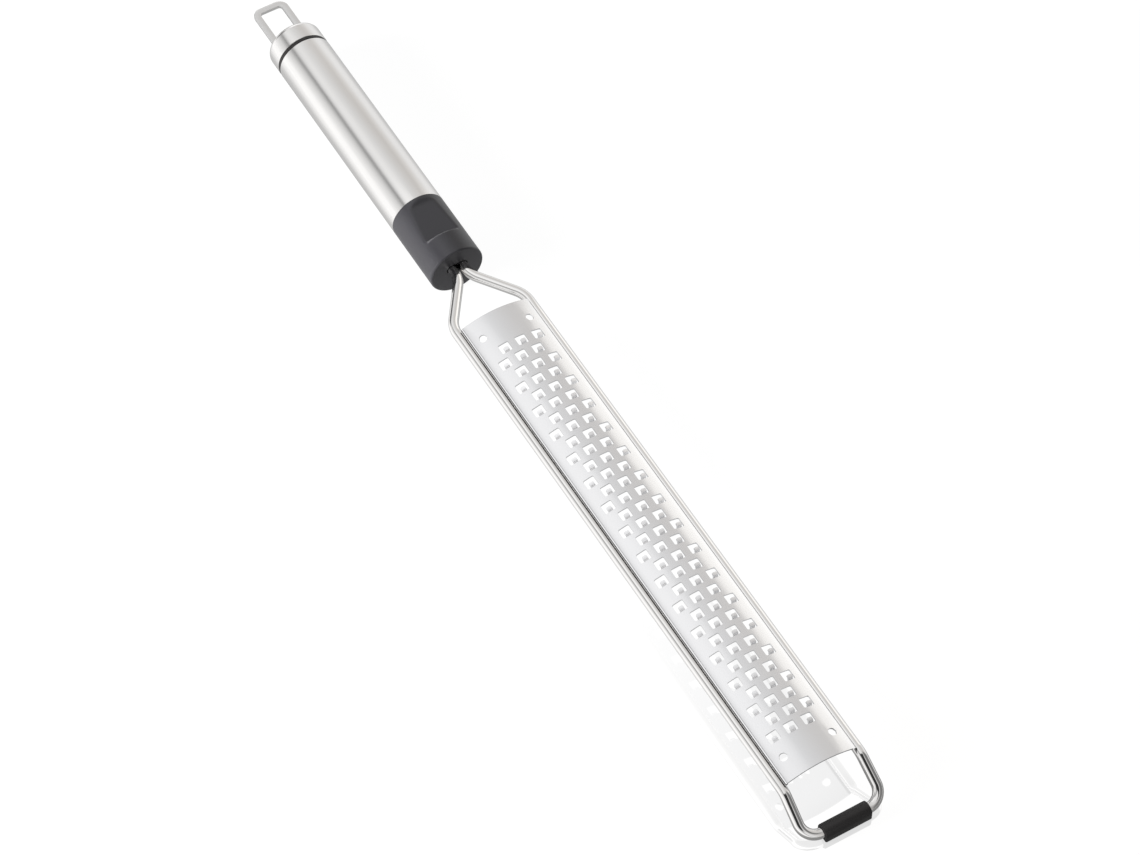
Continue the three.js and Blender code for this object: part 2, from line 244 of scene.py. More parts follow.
def steel(name, colour, lines, rough, rough_swing, tone_swing, line_depth, shade_height=None, arch=None):
    finish = new_finish(name)
    fine = grain(finish, lines, detail=3.0, roughness=0.6)
    clouds = grain(finish, CLOUDS_PER_METRE)
    tone = fine * FINE_SHARE + clouds * (1 - FINE_SHARE)
    dark = [channel * (1 - tone_swing) for channel in colour]
    light = [min(1.0, channel * (1 + tone_swing)) for channel in colour]
    shade = finish.mix_colour(tone, (*dark, 1), (*light, 1))
    roughness = (tone - 0.5) * rough_swing + rough
    # Below the set height the colour is painted shade for the crevice at the wire, and the metal is made
    # duller.
    if shade_height:
        unshaded = above_height(finish, shade_height, CREVICE_SHADE_EDGE)
        shade = finish.mix_colour(unshaded, CREVICE_PAINTED_SHADE, shade)
        roughness = roughness + (1 - unshaded) * CREVICE_DULL
    if arch:
        # On the tongues the colour is a painted highlight, paler than the sheet, and the metal is made a
        # little duller.
        on_tongues = above_arch(finish, *arch)
        shade = finish.mix_colour(on_tongues, shade, TONGUE_PAINTED_HIGHLIGHT)
        roughness = roughness + on_tongues * PUNCHED_DULL
    lines_relief = bump(finish, fine, line_depth)
    finish.surface(Base_Color=shade, Metallic=1.0, Roughness=roughness, Normal=lines_relief)
    return finish.owner


# %% Steels
# The last height is where the painted crevice shade on the blade's flange stops.
ARCH_R, ARCH_MIDDLE, CREVICE_SHADE_HEIGHT = 34.0, -16.28, 14.62
handle_steel = steel(
    "brushed_handle_steel", colour=(0.80, 0.79, 0.78), lines=(40, 5000, 5000),
    rough=0.19, rough_swing=0.12, tone_swing=0.07, line_depth=0.003 * MM,
)
blade_steel = steel(
    "satin_blade_steel", colour=(0.80, 0.80, 0.81), lines=(60, 3500, 3500),
    rough=0.20, rough_swing=0.10, tone_swing=0.04, line_depth=0.002 * MM,
    shade_height=CREVICE_SHADE_HEIGHT * MM, arch=(ARCH_R * MM, ARCH_MIDDLE * MM),
)
wire_steel = steel(
    "polished_wire_steel", colour=(0.80, 0.79, 0.78), lines=(120, 2500, 2500),
    rough=0.08, rough_swing=0.04, tone_swing=0.04, line_depth=0.0008 * MM,
)
loop_steel = steel(
    "satin_loop_steel", colour=(0.74, 0.735, 0.73), lines=(1500, 1500, 1500),
    rough=0.32, rough_swing=0.14, tone_swing=0.05, line_depth=0.004 * MM,
)
anchor_steel = steel(
    "plain_anchor_steel", colour=(0.45, 0.45, 0.44), lines=(900, 900, 900),
    rough=0.45, rough_swing=0.2, tone_swing=0.12, line_depth=0.01 * MM,
)
steels = (handle_steel, blade_steel, wire_steel, loop_steel, anchor_steel)
print("steels:", ", ".join(material.name for material in steels))

# %% [markdown]
# ## Plastic and rubber
# The collar is moulded in charcoal plastic with a fine spark-eroded skin, which spreads its
# highlights. A paler line on the rim of its step is a painted highlight. The foot and
# the ring are rubber: darker, duller and with a coarser skin. The hidden plug is plain grey
# moulding.

# %% Moulded recipe
PATCHES_PER_METRE, SKIN_SWING = (70, 70, 70), 0.18
# Paler colour for the rim of the collar's step: a painted highlight.
STEP_PAINTED_HIGHLIGHT = (0.13, 0.128, 0.136, 1)


def moulded(name, dark, light, skin, rough, depth, rim=None):
    finish = new_finish(name)
    pores = grain(finish, (skin, skin, skin), detail=3.0, roughness=0.65)
    patches = grain(finish, PATCHES_PER_METRE)
    tone = pores * 0.5 + patches * 0.5
    shade = finish.mix_colour(tone, (*dark, 1), (*light, 1))
    if rim:
        # The paler line on the step's rim is a painted highlight.
        shade = finish.mix_colour(near_rim(finish, *rim), shade, STEP_PAINTED_HIGHLIGHT)
    roughness = (tone - 0.5) * SKIN_SWING + rough
    finish.surface(Base_Color=shade, Roughness=roughness, Normal=bump(finish, pores, depth))
    return finish.owner


# %% Mouldings
# The step rim below is where the painted highlight line lies.
REST_STEP, RIM_AHEAD = -10.1, 0.1
step_rim = (REST_STEP + RIM_AHEAD + SHIFT.x) * MM
collar_plastic = moulded(
    "charcoal_collar_plastic", dark=(0.030, 0.029, 0.034), light=(0.040, 0.039, 0.045),
    skin=2600, rough=0.32, depth=0.01 * MM, rim=(step_rim, 0.6 * MM, 18.9 * MM),
)
foot_rubber = moulded(
    "black_foot_rubber", dark=(0.008, 0.007, 0.007), light=(0.015, 0.013, 0.013),
    skin=1800, rough=0.5, depth=0.02 * MM,
)
plug_plastic = moulded(
    "grey_plug_plastic", dark=(0.13, 0.13, 0.14), light=(0.19, 0.19, 0.20),
    skin=1500, rough=0.5, depth=0.03 * MM,
)
print("mouldings:", ", ".join(material.name for material in (collar_plastic, foot_rubber, plug_plastic)))

# %% [markdown]
# ## The hidden pieces
# The plug inside the cap and the plate that anchors the wire can't be seen, so their solids
# stay as they are and only get a finish of their own.

# %% Hidden pieces
for node, material in (("end_plug", plug_plastic), ("wire_anchor", anchor_steel)):
    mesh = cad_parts[node].data
    mesh.materials.clear()
    mesh.materials.append(material)
    print(node, "keeps its solid, finish", material.name)

# %% [markdown]
# ## Turned pieces
# The tube, the ring, the cap and the collar are all turned about one axis. A few vertices give
# half of the section, and a full spin about x turns it into a closed skin. The edge loops
# that a hand can feel are then rounded with a bevel. Each loop is found by its place and radius.

# %% Turning helper
CLOSE, MERGE = 1e-3, 1e-4


def turn_profile(points, steps):
    bm = bmesh.new()
    verts = [bm.verts.new((x, 0, radius)) for x, radius in points]
    edges = [bm.edges.new(pair) for pair in zip(verts, verts[1:] + verts[:1])]
    bmesh.ops.spin(
        bm, geom=verts + edges, cent=(0, 0, 0), axis=(1, 0, 0), angle=math.tau, steps=steps,
        use_merge=True,
    )
    bmesh.ops.remove_doubles(bm, verts=bm.verts, dist=MERGE)
    bmesh.ops.recalc_face_normals(bm, faces=bm.faces)
    return bm


def ring_edges(bm, x, radius):
    def on_ring(vert):
        return abs(vert.co.x - x) < CLOSE and abs(vert.co.yz.length - radius) < CLOSE

    return [edge for edge in bm.edges if all(on_ring(vert) for vert in edge.verts)]


def round_ring(bm, x, radius, offset, segments=4):
    bmesh.ops.bevel(
        bm, geom=ring_edges(bm, x, radius), offset=offset, segments=segments, profile=0.5,
        affect="EDGES", material=-1, clamp_overlap=True,
    )


TURN_STEPS = 128
print("turned pieces have", TURN_STEPS, "steps round")

# %% [markdown]
# ## Handle tube
# A tube with a one millimetre wall. It could be a cylinder with a second one cut out of it,
# but a spun section is closed from the start. Its ends are only broken with a small radius,
# because the ring and the collar close up against them.

# %% Handle tube
TUBE_BACK, TUBE_FRONT, TUBE_BORE = -114.1, -28.5, 9.5
tube = turn_profile(
    [(TUBE_BACK, TUBE_BORE), (TUBE_BACK, HANDLE_R), (TUBE_FRONT, HANDLE_R), (TUBE_FRONT, TUBE_BORE)],
    TURN_STEPS,
)
round_ring(tube, TUBE_BACK, HANDLE_R, 0.25)
round_ring(tube, TUBE_FRONT, HANDLE_R, 0.12)
finish_piece("handle_tube_skin", tube, "handle_tube", handle_steel)

# %% [markdown]
# ## Seal ring
# A thin black ring between tube and cap. A black stripe on the tube could stand for it, but a
# ring of its own lies a little below the steel, so it reads as a dark groove with a soft bottom.

# %% Seal ring
RING_BACK, RING_FRONT, RING_R, RING_BORE = -115.5, -114.2, 10.4, 9.5
ring = turn_profile(
    [(RING_BACK, RING_BORE), (RING_BACK, RING_R), (RING_FRONT, RING_R), (RING_FRONT, RING_BORE)],
    TURN_STEPS,
)
round_ring(ring, RING_BACK, RING_R, 0.2)
round_ring(ring, RING_FRONT, RING_R, 0.2)
finish_piece("seal_ring_skin", ring, "seal_ring", foot_rubber)

# %% [markdown]
# ## Cutting with a second shape
# Slots for the loop and the wire are easiest to cut with a Boolean. It is run once, its result
# is read back into a bmesh, and the helpers are thrown away, so no live modifier is left.

# %% Cutting helper
def cut(target, cutter):
    made = []
    for name, bm in (("target", target), ("cutter", cutter)):
        mesh = bpy.data.meshes.new(name)
        bm.to_mesh(mesh)
        bm.free()
        helper = bpy.data.objects.new(name, mesh)
        bpy.context.scene.collection.objects.link(helper)
        made.append(helper)
    boolean = made[0].modifiers.new("cut", "BOOLEAN")
    boolean.operation, boolean.solver, boolean.object = "DIFFERENCE", "EXACT", made[1]
    bpy.context.view_layer.update()
    result = bmesh.new()
    result.from_object(made[0], bpy.context.evaluated_depsgraph_get())
    for helper in made:
        mesh = helper.data
        bpy.data.objects.remove(helper)
        bpy.data.meshes.remove(mesh)
    return result


def box(low, high):
    bm = bmesh.new()
    bmesh.ops.create_cube(bm, size=1)
    low, high = Vector(low), Vector(high)
    bmesh.ops.scale(bm, verts=bm.verts, vec=high - low)
    bmesh.ops.translate(bm, verts=bm.verts, vec=(low + high) / 2)
    return bm


# %% [markdown]
# ## End cap
# A pressed steel cap with a rounded shoulder. The shoulder could be drawn point by point in the
# section, but one bevel on a sharp edge gives it from a single radius. Two slots in the end let
# the legs of the loop in.

# %% End cap
CAP_BACK, CAP_FRONT, CAP_BORE = -124.2, -115.6, 9.5
CAP_END, CAP_SLANT, CAP_SHOULDER = 1.2, 1.5, 2.5
EYE_HALF, BAR_WIDTH, BAR_THICK, SLOT_GAP = 4.35, 2.6, 1.4, 0.12
cap = turn_profile(
    [
        (CAP_BACK, 0), (CAP_BACK, HANDLE_R), (CAP_FRONT, HANDLE_R), (CAP_FRONT, CAP_BORE),
        (CAP_BACK + CAP_END + CAP_SLANT, CAP_BORE), (CAP_BACK + CAP_END, CAP_BORE - CAP_SLANT),
        (CAP_BACK + CAP_END, 0),
    ],
    TURN_STEPS,
)
round_ring(cap, CAP_BACK, HANDLE_R, CAP_SHOULDER, segments=10)
round_ring(cap, CAP_FRONT, HANDLE_R, 0.25)
for side in (-1, 1):
    middle = side * (EYE_HALF + BAR_WIDTH / 2)
    half_width, half_thick = BAR_WIDTH / 2 + SLOT_GAP, BAR_THICK / 2 + SLOT_GAP
    slot = box(
        (CAP_BACK - 1, middle - half_width, -half_thick), (CAP_BACK + 3, middle + half_width, half_thick),
    )
    cap = cut(cap, slot)
finish_piece("end_cap_skin", cap, "end_cap", handle_steel)

# %% [markdown]
# ## Bent bars
# The loop and the wire are both bars with bends. The section is pushed along a straight run,
# then spun about the bend's centre, and so on to the other end, just as a bending machine
# does it. A corner is given by its place and its bend radius.

# %% Bending helper
def bend_bar(bm, section, corners, steps):
    last = section
    here = Vector(corners[0][0])
    for index in range(1, len(corners)):
        corner, radius = Vector(corners[index][0]), corners[index][1]
        into = (corner - Vector(corners[index - 1][0])).normalized()
        is_end = index == len(corners) - 1
        out_of = into if is_end else (Vector(corners[index + 1][0]) - corner).normalized()
        turn = 0 if is_end else into.angle(out_of)
        bend_start = corner - into * radius * math.tan(turn / 2)
        edges = [item for item in last if isinstance(item, bmesh.types.BMEdge)]
        last = bmesh.ops.extrude_edge_only(bm, edges=edges)["geom"]
        verts = [item for item in last if isinstance(item, bmesh.types.BMVert)]
        bmesh.ops.translate(bm, verts=verts, vec=bend_start - here)
        here = bend_start
        if is_end:
            continue
        inward = (out_of - into * math.cos(turn)).normalized()
        ring = [item for item in last if not isinstance(item, bmesh.types.BMFace)]
        last = bmesh.ops.spin(
            bm, geom=ring, cent=bend_start + inward * radius, axis=into.cross(inward), angle=turn,
            steps=max(2, round(steps * turn / math.pi)), use_merge=False,
        )["geom_last"]
        here = corner + out_of * radius * math.tan(turn / 2)
    bmesh.ops.holes_fill(bm, edges=bm.edges)
    bmesh.ops.remove_doubles(bm, verts=bm.verts, dist=MERGE)
    bmesh.ops.recalc_face_normals(bm, faces=bm.faces)
    return bm


# %% [markdown]
# ## Hanging loop
# Flat bar, bent into a U that lies level, with its two legs pushed through the cap into the
# plug. A flat outline with some thickness would do as well, but a bent bar keeps its width all
# round. All its long edges are slightly rounded, so they catch a thin light line.

# %% Hanging loop
LOOP_END, LEG_END, LOOP_BEND, BAR_ROUND = -144.4, -118.2, 2.5, 0.3
leg = EYE_HALF + BAR_WIDTH / 2
loop = bmesh.new()
turn_upright = Matrix.Translation((LEG_END, leg, 0)) @ Matrix.Rotation(math.pi / 2, 4, "Y")
bmesh.ops.create_grid(loop, x_segments=1, y_segments=1, size=0.5, matrix=turn_upright)
bmesh.ops.delete(loop, geom=loop.faces, context="FACES_ONLY")
about_leg = Matrix.Translation((0, -leg, 0))
bmesh.ops.scale(loop, verts=loop.verts, vec=(1, BAR_WIDTH, BAR_THICK), space=about_leg)
bar_end = LOOP_END + BAR_WIDTH / 2
bend_bar(
    loop, loop.verts[:] + loop.edges[:],
    [
        ((LEG_END, leg, 0), 0), ((bar_end, leg, 0), LOOP_BEND), ((bar_end, -leg, 0), LOOP_BEND),
        ((LEG_END, -leg, 0), 0),
    ],
    steps=24,
)
corner = math.radians(50)
long_edges = [edge for edge in loop.edges if edge.is_manifold and edge.calc_face_angle() > corner]
bmesh.ops.bevel(
    loop, geom=long_edges, offset=BAR_ROUND, segments=3, profile=0.5, affect="EDGES", material=-1,
    clamp_overlap=True,
)
finish_piece("hang_loop_bar", loop, "hang_loop", loop_steel, sharp=60)

# %% [markdown]
# ## Wire frame
# One polished wire makes the neck, both rails and the crossbar. Its tails start inside the
# handle, side by side, and the two rails drop at the front to bring the crossbar down to
# the foot. A curve with a round section could trace it too, but then the bends would only come
# near to true arcs.

# %% Wire frame
WIRE_R, TAIL_HALF, RAIL_HALF, RAIL_Z = 1.9, 2.05, 14.55, 1.6
TAIL_END, NECK_X, SHOULDER_X, FRONT_X, CROSSBAR_X = -54.5, 4.8, 22.5, 238.5, 253.0
CROSSBAR_HALF, CROSSBAR_Z = 15.05, -7.6
NECK_BEND, FRONT_BEND, CROSSBAR_BEND = 11.0, 6.0, 5.83


def half_wire(side):
    return [
        ((TAIL_END, side * TAIL_HALF, RAIL_Z), 0),
        ((NECK_X, side * TAIL_HALF, RAIL_Z), NECK_BEND),
        ((SHOULDER_X, side * RAIL_HALF, RAIL_Z), NECK_BEND),
        ((FRONT_X, side * RAIL_HALF, RAIL_Z), FRONT_BEND),
        ((CROSSBAR_X, side * CROSSBAR_HALF, CROSSBAR_Z), CROSSBAR_BEND),
    ]


wire = bmesh.new()
tail_ring = Matrix.Translation((TAIL_END, TAIL_HALF, RAIL_Z)) @ Matrix.Rotation(math.pi / 2, 4, "Y")
bmesh.ops.create_circle(wire, radius=WIRE_R, segments=40, matrix=tail_ring)
bend_bar(wire, wire.verts[:] + wire.edges[:], half_wire(1) + half_wire(-1)[::-1], steps=44)
finish_piece("wire_frame_rod", wire, "wire_frame", wire_steel, sharp=60)

# %% [markdown]
# ## Collar
# The black collar is turned first, with a soft front edge. The thumb rest on top is a sloping
# floor that ends in a step. A fine skin is spun, and every point that stands above the rest
# is eased down to it. A cut would do it too, but would leave the rim sharp. The easing blends
# over a fraction of a millimetre, so the rim comes out rounded like a moulding.

# %% Thumb rest
REST_START, REST_RUN = -27.4, 2.6
REST_DEPTH_BACK, REST_DEPTH_STEP, RIM = 1.3, 2.5, 0.5
STEP_SOFTNESS, STEP_REACH, ABOVE_SKIN = 0.2, 3, 1.5


def rest_height(x):
    if x < REST_START + REST_RUN:
        along = max(0.0, (x - REST_START) / REST_RUN)
        depth = REST_DEPTH_BACK * math.sin(along * math.pi / 2)
    else:
        along = (x - REST_START - REST_RUN) / (REST_STEP - REST_START - REST_RUN)
        depth = REST_DEPTH_BACK + (REST_DEPTH_STEP - REST_DEPTH_BACK) * along
    if x < REST_START:
        depth = -1.0
    wall = float(x > REST_STEP)
    if abs(x - REST_STEP) < STEP_REACH:
        wall = 1 / (1 + math.exp((REST_STEP - x) / STEP_SOFTNESS))
    return HANDLE_R - depth + wall * (depth + ABOVE_SKIN)


def eased_down(z, limit):
    blend = max(0.0, RIM - abs(z - limit)) / RIM
    return min(z, limit) - blend * blend * RIM / 4


print("thumb rest drops from", REST_DEPTH_BACK, "to", REST_DEPTH_STEP, "mm at its step")

# %% Turned collar
COLLAR_BACK, SPIGOT_R, SPIGOT_BACK = -28.4, 9.2, -50.4
FINE_STEP, FINE_TURN, FRONT_ROUND = 0.2, 240, 0.8
fine_x = [COLLAR_BACK + FINE_STEP * step for step in range(1, round(-COLLAR_BACK / FINE_STEP))]
collar = turn_profile(
    [(SPIGOT_BACK, 0), (SPIGOT_BACK, SPIGOT_R), (COLLAR_BACK, SPIGOT_R), (COLLAR_BACK, HANDLE_R)]
    + [(x, HANDLE_R) for x in fine_x if x < -1.0] + [(0, HANDLE_R), (0, 0)],
    FINE_TURN,
)
round_ring(collar, 0, HANDLE_R, FRONT_ROUND, segments=5)
round_ring(collar, COLLAR_BACK, HANDLE_R, 0.12, segments=2)
for vert in collar.verts:
    if vert.co.z > 0 and COLLAR_BACK + 0.1 < vert.co.x < -0.9:
        vert.co.z = eased_down(vert.co.z, rest_height(vert.co.x))
print("collar skin has", len(collar.verts), "points")

# %% Bores for the wire
BORE_R, BORE_BACK, BORE_FRONT = WIRE_R + 0.25, -8, 3
collar = cut(
    collar, box((BORE_BACK, -TAIL_HALF, RAIL_Z - BORE_R), (BORE_FRONT, TAIL_HALF, RAIL_Z + BORE_R)),
)
for side in (-1, 1):
    bore = bmesh.new()
    bore_middle = ((BORE_BACK + BORE_FRONT) / 2, side * TAIL_HALF, RAIL_Z)
    along_x = Matrix.Translation(bore_middle) @ Matrix.Rotation(math.pi / 2, 4, "Y")
    bmesh.ops.create_cone(
        bore, cap_ends=True, segments=32, radius1=BORE_R, radius2=BORE_R, depth=BORE_FRONT - BORE_BACK,
        matrix=along_x,
    )
    collar = cut(collar, bore)
finish_piece("collar_moulding", collar, "collar", collar_plastic, sharp=32)

# %% [markdown]
# ## Foot
# A rubber sleeve on the crossbar with a round back and a flat sole. A block gets its two top
# edges rounded until they meet, and then all its edges are softened, as rubber always is.
# The wire goes through a bore.

# %% Foot
FOOT_HALF_WIDTH, FOOT_HALF_LENGTH, FOOT_SOLE, FOOT_ROUND = 2.75, 8.9, 2.9, 0.55
foot = box(
    (CROSSBAR_X - FOOT_HALF_WIDTH, -FOOT_HALF_LENGTH, CROSSBAR_Z - FOOT_SOLE),
    (CROSSBAR_X + FOOT_HALF_WIDTH, FOOT_HALF_LENGTH, CROSSBAR_Z + FOOT_HALF_WIDTH),
)
top_edges = [
    edge for edge in foot.edges
    if all(vert.co.z > CROSSBAR_Z for vert in edge.verts) and edge.verts[0].co.x == edge.verts[1].co.x
]
bmesh.ops.bevel(
    foot, geom=top_edges, offset=FOOT_HALF_WIDTH - 0.1, segments=12, profile=0.5, affect="EDGES",
    material=-1,
)
rims = [edge for edge in foot.edges if edge.calc_face_angle() > math.radians(60)]
bmesh.ops.bevel(foot, geom=rims, offset=FOOT_ROUND, segments=4, profile=0.5, affect="EDGES", material=-1)
bore = bmesh.new()
along_y = Matrix.Translation((CROSSBAR_X, 0, CROSSBAR_Z)) @ Matrix.Rotation(math.pi / 2, 4, "X")
FOOT_BORE_R = WIRE_R + 0.12
bmesh.ops.create_cone(
    bore, cap_ends=True, segments=40, radius1=FOOT_BORE_R, radius2=FOOT_BORE_R, depth=20, matrix=along_y,
)
foot = cut(foot, bore)
finish_piece("foot_sleeve", foot, "foot", foot_rubber, sharp=30)

# %% [markdown]
# ## Blade: one flat sheet
# The blade starts as a flat grid whose lines are then moved to where the punch and the press
# need them. Teeth stand in a brick pattern, so each line across serves two rows: the edge of an
# opening in one row is the edge of a tongue in the next. That keeps the sheet in tidy
# four-sided faces, which bend cleanly.

# %% Lines of the sheet
BLADE_START, BLADE_END, SHEET = 26.7, 237.7, 0.6
COLUMN, COLUMNS, ROW, ROWS, TEETH_IN_ROW = 3.31, 8, 5.77, 32, 3
TONGUE_HALF, OPENING_HALF, OPENING_LONG = 0.9, 2.02, 1.95
TIP, ROOT_LINE, TOOTH_RISE = 0.4, 1.585, 1.05
HOLE_IN, HOLE_R, HOLE_PATCH = 8.2, 1.5, 2.0
SIDE, FOLD_R, FLANGE_Z, FLANGE_HEIGHT = 13.4, 0.9, 3.475, 0.4

beside = (0.5, TONGUE_HALF, COLUMN - OPENING_HALF)
between = (0, *beside, COLUMN / 2, *(COLUMN - offset for offset in beside[::-1]))
columns = [COLUMN * (k - (COLUMNS - 1) / 2) for k in range(COLUMNS)]
across = [column + offset for column in columns[:-1] for offset in between] + [columns[-1]]
first_row = (BLADE_START + BLADE_END - (ROWS - 1) * ROW) / 2
by_hole = (HOLE_IN - HOLE_PATCH, HOLE_IN, HOLE_IN + HOLE_PATCH)
tongue_lines = (TIP, 0.65, 1.1, ROOT_LINE)
in_row = (-ROW / 2, -OPENING_LONG, -ROOT_LINE, *tongue_lines, OPENING_LONG)
along = [BLADE_START] + [BLADE_START + inset for inset in by_hole]
along += [first_row + row * ROW + offset for row in range(ROWS) for offset in in_row]
along += [first_row + (ROWS - 0.5) * ROW]
along += [BLADE_END - inset for inset in by_hole[::-1]] + [BLADE_END]
print("lines along:", len(along), "lines across the arch:", len(across))

# %% [markdown]
# ## Blade: bending
# Across the sheet, the distance from the middle is a length along the metal. The arch takes
# the first part, the fold the next, and the flange the rest. One function turns that length
# into a place in the section, and its height argument lifts a point off the sheet.

# %% Section of the blade
FOLD_STEPS = 5
fold_y = SIDE - FOLD_R
fold_z = FLANGE_Z + FLANGE_HEIGHT
arch_z = fold_z - math.sqrt((ARCH_R - FOLD_R) ** 2 - fold_y ** 2)
fold_turn = math.atan2(fold_y, fold_z - arch_z)
arch_half = ARCH_R * fold_turn
fold_length = FOLD_R * (math.pi / 2 - fold_turn)
edge_lines = [arch_half + fold_length * step / FOLD_STEPS for step in range(FOLD_STEPS + 1)]
edge_lines += [arch_half + fold_length + FLANGE_HEIGHT]
across = [-line for line in edge_lines[::-1]] + across + edge_lines


def on_section(x, length, height):
    side, reach = math.copysign(1, length), abs(length)
    if reach <= arch_half:
        angle = reach / ARCH_R
        radius = ARCH_R + height
        return Vector((x, side * radius * math.sin(angle), arch_z + radius * math.cos(angle)))
    if reach <= arch_half + fold_length:
        angle = fold_turn + (reach - arch_half) / FOLD_R
        return Vector((x, side * (fold_y + FOLD_R * math.sin(angle)), fold_z + FOLD_R * math.cos(angle)))
    return Vector((x, side * SIDE, fold_z - (reach - arch_half - fold_length)))


print("half arch", round(arch_half, 2), "fold", round(fold_length, 2), "crown", round(arch_z + ARCH_R, 2))

# %% [markdown]
# ## Blade: punching
# The grid is made in one step, then its lines are moved. Faces inside each opening go, apart
# from the tongue. Cutting every opening with a Boolean would be slow and leave ragged faces.

# %% Punched sheet
blade = bmesh.new()
bmesh.ops.create_grid(blade, x_segments=len(along) - 1, y_segments=len(across) - 1, size=0.5)
for vert in blade.verts:
    vert.co.x = along[round((vert.co.x + 0.5) * (len(along) - 1))]
    vert.co.y = across[round((vert.co.y + 0.5) * (len(across) - 1))]


def tooth_frame(x, length):
    row = round((x - first_row) / ROW)
    if not 0 <= row < ROWS:
        return None
    middle = columns[COLUMNS - 2 - row % 2]
    column = round((middle - length) / (2 * COLUMN))
    if not 0 <= column < TEETH_IN_ROW:
        return None
    return x - first_row - row * ROW, length - middle + column * 2 * COLUMN


def is_punched_out(face):
    middle = face.calc_center_median()
    local = tooth_frame(middle.x, middle.y)
    if local is None or abs(local[0]) > OPENING_LONG or abs(local[1]) > OPENING_HALF:
        return False
    return local[0] < TIP or abs(local[1]) > TONGUE_HALF


bmesh.ops.delete(blade, geom=[face for face in blade.faces if is_punched_out(face)], context="FACES")
print("sheet after punching:", len(blade.faces), "faces")

# %% [markdown]
# ## Blade: corner holes
# The four round holes are let into the grid as well. A Boolean could drill them, but the grid
# already has lines there: the faces around each middle go, and the points on the rim of the
# gap are pulled onto a circle.

# %% Corner holes
patch_low, patch_high = columns[-2] - TONGUE_HALF, columns[-1]
hole_middle, HOLE_PATCH_WIDE = (patch_low + patch_high) / 2, (patch_high - patch_low) / 2


def open_round_hole(bm, x, length):
    def inside(face):
        middle = face.calc_center_median()
        return abs(middle.x - x) < HOLE_PATCH and abs(middle.y - length) < HOLE_PATCH_WIDE

    patch = [face for face in bm.faces if inside(face)]
    rim = {vert for face in patch for vert in face.verts}
    bmesh.ops.delete(bm, geom=patch, context="FACES")
    for vert in rim:
        if vert.is_valid:
            out = Vector((vert.co.x - x, vert.co.y - length, 0)).normalized()
            vert.co = Vector((x, length, 0)) + out * HOLE_R


for x in (BLADE_START + HOLE_IN, BLADE_END - HOLE_IN):
    for side in (-1, 1):
        open_round_hole(blade, x, side * hole_middle)
bmesh.ops.recalc_face_normals(blade, faces=blade.faces)
if sum(face.normal.z for face in blade.faces) < 0:
    bmesh.ops.reverse_faces(blade, faces=blade.faces)
print("sheet with corner holes:", len(blade.faces), "faces, holes", round(hole_middle, 2), "off the middle")

# %% [markdown]
# ## Blade: forming
# Now each tongue is lifted towards the handle: steep at its root, then flat like a hood, so its
# top mirrors the sky as the sheet does. Corner points are pulled in a little, which rounds the
# corners of openings and tongues. The whole sheet is bent to its section, and solidify gives it
# the thickness of the metal, inwards from the face that was drawn.

# %% Formed blade
CORNER_PULL, HOOD = 0.12, 0.28


def formed(vert):
    x, length, height = vert.co.x, vert.co.y, 0.0
    local = tooth_frame(x, length)
    if local:
        forward, aside = local
        on_tongue = abs(aside) <= TONGUE_HALF + CLOSE and TIP - CLOSE <= forward < OPENING_LONG - CLOSE
        if on_tongue:
            rise = (OPENING_LONG - forward) / (OPENING_LONG - TIP)
            height = TOOTH_RISE * rise ** HOOD
        at_opening_side = abs(abs(aside) - OPENING_HALF) < CLOSE
        opening_corner = at_opening_side and abs(abs(forward) - OPENING_LONG) < CLOSE
        tongue_corner = abs(abs(aside) - TONGUE_HALF) < CLOSE and abs(forward - TIP) < CLOSE
        if opening_corner:
            x -= math.copysign(CORNER_PULL, forward)
            length -= math.copysign(CORNER_PULL, aside)
        if tongue_corner:
            x += CORNER_PULL
            length -= math.copysign(CORNER_PULL * 1.4, aside)
    return on_section(x, length, height)


for vert in blade.verts:
    vert.co = formed(vert)
blade.normal_update()
bmesh.ops.solidify(blade, geom=blade.faces[:], thickness=SHEET)
bmesh.ops.recalc_face_normals(blade, faces=blade.faces)
heights = [vert.co.z for vert in blade.verts]
print("blade from z", round(min(heights), 2), "to", round(max(heights), 2))
finish_piece("blade_sheet", blade, "blade", blade_steel, sharp=40)

# %% [markdown]
# ## Studio
# The photograph is high-key: a white sweep all round, with a few grey gaps between the soft
# boxes that draw lines on the polished metal. Boxes could be built as lamps, but the world can
# play them all: a ramp of greys by the angle about the handle's axis. What the camera sees
# directly is plain white, what metal mirrors has the gaps, and everything else is lit evenly.

# %% Soft boxes
world = bpy.data.worlds.new("studio")
bpy.context.scene.world = world
sky = Finish(world)
axis_x, axis_y, axis_z = coordinates(sky, source="Generated")
around = sky.node("ShaderNodeMath", {"operation": "ARCTAN2"}, {0: axis_z, 1: axis_y}) / math.tau + 0.5


def stop(degrees, level, warmth=0.0):
    return degrees / 360 + 0.5, (level * (1 + warmth), level, level * (1 - warmth))


box_stops = [
    stop(-180, 1.3), stop(-90, 0.8), stop(0, 0.98), stop(12, 0.97), stop(28, 0.8, 0.02),
    stop(44, 0.67, 0.03), stop(60, 0.72, 0.02), stop(80, 0.82), stop(100, 0.97), stop(111, 1.0),
    stop(121, 0.86), stop(127, 0.5), stop(130, 0.22), stop(133, 0.42), stop(145, 0.78),
    stop(160, 0.97), stop(170, 1.1), stop(180, 1.3),
]
boxes = sky.node("ShaderNodeValToRGB", {"stops": box_stops}, {0: around})
print("soft boxes:", len(box_stops), "stops round the handle's axis")

# %% [markdown]
# ## Dark and bright patches
# Chrome looks like chrome because it mirrors something dark. The camera's own side is dark for
# the wire's front legs, the room beyond the foot is dim, and the far end of the set, behind the
# handle, is dark on one side and bright on the other. Each patch is a direction and two limits,
# chosen so that only those pieces mirror it.

# %% Patches
CAMERA_SIDE, LEG_RUN = (0.42, -0.33, 0.845), (0.844, 0, -0.536)


def towards(direction):
    return axis_x * direction[0] + axis_y * direction[1] + axis_z * direction[2]


def grey(level):
    return level, level, level, 1


